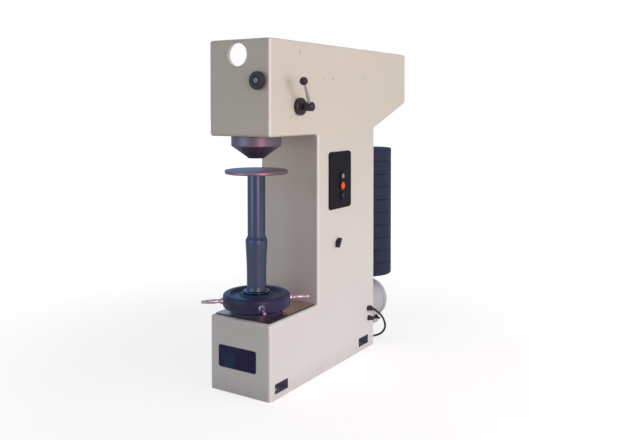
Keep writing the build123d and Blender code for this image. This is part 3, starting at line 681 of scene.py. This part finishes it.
knob_middle = np.mean([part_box("measuring_knob")[i][0] for i in (0, 1)])
knob_height = np.mean([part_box("measuring_knob")[i][2] for i in (0, 1)])
knob_section = rounded([(5, 3.4, 0.2), (24, 3.4, 1), (28.5, 6, 1.5), (28.5, 16, 1.5), (25.5, 19, 1.5),
                        (14, 19, 0.8), (12, 17, 0.8), (5, 17, 0.2)])
knob = surface("measuring_knob_fluted", lathe(knob_section, (knob_middle, FRONT, knob_height),
                                              (0, -1, 0), 480, flutes), wrap_v=True)
wear(knob, phenolic, "measuring_drum")
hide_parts("measuring_knob")
print("knob at", round(knob_middle, 3), round(knob_height, 3))

# %% [markdown]
# ## Lamp ring
# The lamp's light spills into the clear collar round its lens, so a glowing ring a little wider than
# the lens is what one sees from across a room. A larger lens would be wrong close up. A thin turned
# ring round the true one is right from both.

# %% Ring round the lamp
lamp_lo, lamp_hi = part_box("lamp_button")
lamp_middle = (SIDE, (lamp_lo[1] + lamp_hi[1]) / 2, (lamp_lo[2] + lamp_hi[2]) / 2)
ring_section = rounded([(9.5, 9.9, 0.1), (14.2, 9.9, 0.1), (13.4, 11.2, 0.5), (9.5, 11.2, 0.3)])
ring = surface("lamp_ring", lathe(ring_section, lamp_middle, (1, 0, 0), 64), wrap_v=True)
wear(ring, amber_collar, "frame")
print("lamp ring at height", round(lamp_middle[2], 3))

# %% [markdown]
# ## Motor cowl
# A fan sits under the motor's domed cowl and draws air through slots round its nose. Real slots would
# need cuts and a wall thickness. Pressing each one in costs nothing: the dome's height drops where
# cos(20 a) is high and the radius lies in the band. A dark dome just inside is painted shade: it is
# what shows at the bottom of the slots.

# %% Slotted dome
MOTOR_Z, SKIRT = 0.125, 16 * MM
SLOTS, SLOT_DEPTH, SLOT_START, SLOT_END = 20, 5 * MM, 22, 58  # the band's two radii are in mm
cowl_lo, cowl_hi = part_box("motor_end_cover")
COWL_R = (cowl_hi[0] - cowl_lo[0]) / 2 / MM
nose = np.linspace(0, pi / 2, 70)
dome = np.stack([COWL_R * MM * np.cos(nose), cowl_lo[1] + SKIRT + (cowl_hi[1] - cowl_lo[1] - SKIRT)
                 * np.sin(nose)], -1)
skirt = np.array([(0, cowl_lo[1]), (COWL_R * MM, cowl_lo[1])])


def slots(a, r, h):
    """h sinks by SLOT_DEPTH where cos(SLOTS a) > 0.3 and r lies between SLOT_START and SLOT_END, with
    walls about a millimetre wide."""
    across = np.clip((np.cos(SLOTS * a) - 0.3) * 5, 0, 1)
    along = np.clip((r / MM - SLOT_START) / 1.2, 0, 1) * np.clip((SLOT_END - r / MM) / 1.2, 0, 1)
    return r, h - SLOT_DEPTH * across * along


cowl = surface("motor_cowl", lathe(np.concatenate([skirt, dome]), (0, 0, MOTOR_Z), (0, 1, 0), 480, slots))
wear(cowl, motor_enamel, "frame")
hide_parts("motor_end_cover")
print("cowl radius:", round(COWL_R, 1), "mm")

# %% Shade behind the slots
band = (dome[:, 0] > 18 * MM) & (dome[:, 0] < 62 * MM)
inner = dome[band] * (0.985, 1) - (0, 2.2 * MM)
shade = surface("fan_shade", lathe(inner, (0, 0, MOTOR_Z), (0, 1, 0), 96))
wear(shade, black_steel, "frame")
print("rows in the shade:", len(inner))

# %% [markdown]
# ## Glands and boots
# Each lead leaves the wall through a moulded side-exit gland, and a ribbed boot bends with the cable
# so that it can't kink. The ribs could be rings set one by one. They are a cosine taken out of a
# tapering radius, so a boot is one skin that points along its lead's first run.

# %% Wall glands
gland_section = rounded([(0, 0, 0), (10, 0, 0.2), (10, 4, 1), (7.5, 5, 0.4), (7.5, 18, 2), (5, 20, 1.5),
                         (0, 20, 0)])
exits = [(SIDE, 0.292, 0.149), (SIDE, 0.297, 0.111)]
glands = surface("wall_glands", np.stack([lathe(gland_section, place, (1, 0, 0), 48) for place in exits]))
wear(glands, lead_rubber, "frame")
print("wall glands:", len(exits))

# %% Ribbed boots
BOOT, BOOT_BACK = 26, 25  # mm: the boot's length, and how much of it lies behind the lead's first point
boot_t = np.linspace(0, 1, 61)
# r = 6.8 - 2.1 t, less 0.7 mm in the grooves of cos(12 pi t), with a plain first twentieth
grooves = np.clip(np.cos(12 * pi * boot_t), 0, 1) * (boot_t > 0.05)
boot_r = (6.8 - 2.1 * boot_t) * MM - 0.7 * MM * grooves
boot_body = np.stack([boot_r, (BOOT * boot_t - BOOT_BACK) * MM], -1)
boot_section = np.concatenate([[(0, -BOOT_BACK * MM)], boot_body, [(0, (BOOT - BOOT_BACK) * MM)]])
boots = surface("lead_boots", np.stack([
    lathe(boot_section, points[0], points[1] - points[0], 40) for points in (lead_bow, motor_points)]))
wear(boots, lead_rubber, "frame")
print("boot:", BOOT, "mm long")

# %% The terminal box's gland
BOX_GLAND_Y, BOX_GLAND_Z = 0.4046, 0.086
box_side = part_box("terminal_box")[1][0]
nut_section = rounded([(0, 1.8, 0), (8, 1.8, 0.5), (8, 6, 0.8), (6.3, 7, 0.5), (6.3, 10, 1.2),
                       (4.2, 11.8, 0.8), (0, 11.8, 0)])
box_gland = surface("box_gland", lathe(nut_section, (box_side, BOX_GLAND_Y, BOX_GLAND_Z), (1, -0.22, 0), 48))
wear(box_gland, black_steel, "frame")
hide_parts("cable_glands")
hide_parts("cable_glands")
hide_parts("cable_glands")
print("terminal box side at x =", round(box_side, 3))

# %% [markdown]
# ## Plug
# A moulded plug: a ribbed boot, a body that swells for the fingers, and two nickel pins. Boot and body
# could be two pieces, but the real one is one moulding, so it is one profile. Its points are spread
# evenly first, so that the ribs have points to move.

# %% Plug body
PLUG, PLUG_LENGTH = np.array([-0.075, 0.445, 0.0181]), 66 * MM  # its end on the lead, and pins included
plug_section = rounded([(0, 0, 0), (5, 0, 0.5), (6.2, 9, 2), (8, 16, 3), (14, 24, 5), (17.8, 33, 4),
                        (17.8, 46, 1.5), (16, 48, 1), (0, 48, 0)])


def grips(a, r, h):
    """Rings 5 mm apart, pressed 0.8 mm into the boot and the shoulder along the body's length h."""
    return r - 0.8 * MM * np.clip(np.cos(h / MM * tau / 5), 0, 1) * (h < 24 * MM) * (r > 4 * MM), h


plug_profile = np.stack([np.interp(np.linspace(0, 1, 160), np.linspace(0, 1, len(plug_section)), column)
                         for column in plug_section.T], -1)
plug = surface("moulded_plug", lathe(plug_profile, PLUG, (0, 1, 0), 64, grips))
wear(plug, lead_rubber, "frame")
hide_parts("mains_plug")
print("plug ends at y =", round(PLUG[1] + PLUG_LENGTH, 3))

# %% Pins
PIN_X = 9.5
pin_section = rounded([(0, 47, 0), (2.4, 47, 0), (2.4, 64.5, 1.2), (1.6, 66, 0.8), (0, 66, 0)])
pins = surface("plug_pins", np.stack([lathe(pin_section, PLUG + (x * MM, 0, 0), (0, 1, 0), 24)
                                      for x in (-PIN_X, PIN_X)]))
wear(pins, plain_steel, "frame")
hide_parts("mains_plug")
print("pins:", 2 * PIN_X, "mm apart")

# %% Both leads' lengths
print("leads:", round(lead_length, 2), "m and", round(motor_length, 3), "m")

# %% [markdown]
# ## Floor
# A pale floor that keeps the machine's shadow. A white surround could be had by lighting the floor
# until it burns out, but that would bleach the machine too. The floor instead glows a little for the
# camera alone, more with distance, until it is as white as the surround behind it.


# %% Rays that see white
WHITE = 1.0  # the strength at which a glow renders white


def backdrop_rays(tree, sheen):
    """WHITE for camera rays, sheen for mirror and glass rays, 0 for rays that light things: the
    larger of camera * WHITE and max(glossy, transmission) * sheen."""
    path = add(tree, "ShaderNodeLightPath")
    mirror = add(tree, "ShaderNodeMath", {0: path.outputs["Is Glossy Ray"],
                                          1: path.outputs["Is Transmission Ray"]}, operation="MAXIMUM")
    sheen_part = add(tree, "ShaderNodeMath", {0: mirror.outputs["Value"], 1: sheen}, operation="MULTIPLY")
    seen_part = add(tree, "ShaderNodeMath", {0: path.outputs["Is Camera Ray"], 1: WHITE},
                    operation="MULTIPLY")
    return add(tree, "ShaderNodeMath", {0: seen_part.outputs["Value"], 1: sheen_part.outputs["Value"]},
               operation="MAXIMUM").outputs["Value"]


print("the camera sees strength", WHITE)

# %% Floor
REACH, FADE_START, FADE_END = 30, 0.8, 3.5
FLOOR_GLOW, FLOOR_SHEEN = 0.7, 0.3
ground = bpy.data.meshes.new("floor")
ground.from_pydata([(-REACH, -REACH, 0), (REACH, -REACH, 0), (REACH, REACH, 0), (-REACH, REACH, 0)], [],
                   [(0, 1, 2, 3)])
floor = bpy.data.objects.new("floor", ground)
bpy.context.scene.collection.objects.link(floor)
floor_paint, tree, shader, place = finish("pale_floor", "#B8B8B8", Roughness=0.95, Specular_IOR_Level=0.0)
reach = add(tree, "ShaderNodeVectorMath", {0: place}, operation="LENGTH")
fade = add(tree, "ShaderNodeMapRange", {"Value": reach.outputs["Value"], "From Min": FADE_START,
                                        "From Max": FADE_END, "To Min": FLOOR_GLOW, "To Max": WHITE})
lift = add(tree, "ShaderNodeMath", {0: backdrop_rays(tree, FLOOR_SHEEN), 1: fade.outputs["Result"]},
           operation="MULTIPLY")
shader.inputs["Emission Color"].default_value = (1, 1, 1, 1)
tree.links.new(lift.outputs["Value"], shader.inputs["Emission Strength"])
ground.materials.append(floor_paint)
print("floor turns white", FADE_END, "m from the machine")

# %% [markdown]
# ## Surround
# The surround is white to the camera and gives an even, low light. Metal and gloss also see a
# blue-grey room on the left and a window's pink band in front, which is what gives round steel its
# dark and bright stripes. Real panels round the machine would do it too, but they would also light
# it; a colour that only glossy rays find leaves the paint alone.

# %% White surround
AMBIENT, SURROUND_SHEEN = 0.24, 0.42
world = bpy.data.worlds.new("surround")
bpy.context.scene.world = world
world.use_nodes = True
tree = world.node_tree
strength = add(tree, "ShaderNodeMath", {0: backdrop_rays(tree, SURROUND_SHEEN), 1: AMBIENT},
               operation="MAXIMUM")
back = tree.nodes["Background"]
tree.links.new(strength.outputs["Value"], back.inputs["Strength"])
print("even light:", AMBIENT)

# %% Room and window for the reflections
ROOM, WINDOW = (2.4, "#90B4E0"), (5.6, "#FFBCBC")  # strength and colour
WINDOW_WAY = (0.86, -0.5, 0)                       # towards the window
blue_room, window = (tuple(gain * c for c in linear(tint)[:3]) + (1,) for gain, tint in (ROOM, WINDOW))
direction = add(tree, "ShaderNodeTexCoord").outputs["Generated"]
way = add(tree, "ShaderNodeSeparateXYZ", {"Vector": direction})
right = add(tree, "ShaderNodeMapRange", {"Value": way.outputs["X"], "From Min": -0.1, "From Max": 0.35})
ray = add(tree, "ShaderNodeLightPath")
plain = add(tree, "ShaderNodeMath", {0: 1.0, 1: ray.outputs["Is Glossy Ray"]}, operation="SUBTRACT")
white = add(tree, "ShaderNodeMath", {0: plain.outputs["Value"], 1: right.outputs["Result"]},
            operation="MAXIMUM")
room = add(tree, "ShaderNodeMix", {"Factor": white.outputs["Value"], 6: blue_room,
                                   7: linear("#FFFFFF")}, data_type="RGBA")
near = add(tree, "ShaderNodeVectorMath", {0: direction, 1: WINDOW_WAY}, operation="DOT_PRODUCT")
pane = add(tree, "ShaderNodeMapRange", {"Value": near.outputs["Value"], "From Min": 0.86,
                                        "From Max": 0.95})
seen = add(tree, "ShaderNodeMath", {0: pane.outputs["Result"], 1: ray.outputs["Is Glossy Ray"]},
           operation="MULTIPLY")
sky = add(tree, "ShaderNodeMix", {"Factor": seen.outputs["Value"], 6: room.outputs[2], 7: window},
          data_type="RGBA")
tree.links.new(sky.outputs[2], back.inputs["Color"])
print("window's red, green and blue:", [round(c, 2) for c in window[:3]])

# %% [markdown]
# ## Lamps
# The key light stands to the right and a little behind, so the machine's side is bright and its front
# falls to a middle tone. A weak fill from the left keeps the front readable, a tall strip draws a line
# down the round pieces, and a side lamp opens up the far side. Small lamps would cast hard shadows;
# these are metres wide, as the light from big windows is.

# %% Five soft lamps
AIM = np.array([0, 0, 0.6])
LAMPS = [  # name, place, width, height, watts, colour, seen in reflections
    ("key", (3.4, 0.4, 0.8), 3.0, 3.0, 98, "#FFFAF6", False),
    ("fill", (-1.2, -3.2, 0.8), 2.4, 2.4, 14, "#F0FFF6", True),
    ("top", (0.3, 0.2, 3.6), 1.8, 1.8, 8, "#FFFFFF", True),
    ("strip", (2.6, -1.75, 0.8), 0.6, 2.6, 14, "#FFC4C4", True),
    ("side", (-3.4, 0.8, 1.6), 2.4, 2.4, 22, "#FFFFFF", False)]
for name, place, width, height, watts, colour, mirrored in LAMPS:
    light = bpy.data.lights.new(name, "AREA")
    light.shape, light.size, light.size_y = "RECTANGLE", width, height
    light.energy, light.color = watts, linear(colour)[:3]
    lamp = bpy.data.objects.new(name, light)
    lamp.location = place
    aim = AIM - np.array(place)
    lamp.rotation_euler = (pi / 2 + np.arctan2(aim[2], np.hypot(aim[0], aim[1])), 0,
                           np.arctan2(aim[1], aim[0]) - pi / 2)
    lamp.visible_glossy = mirrored
    bpy.context.scene.collection.objects.link(lamp)
bpy.context.scene.view_settings.view_transform = "Standard"
print("lamps:", [row[0] for row in LAMPS])
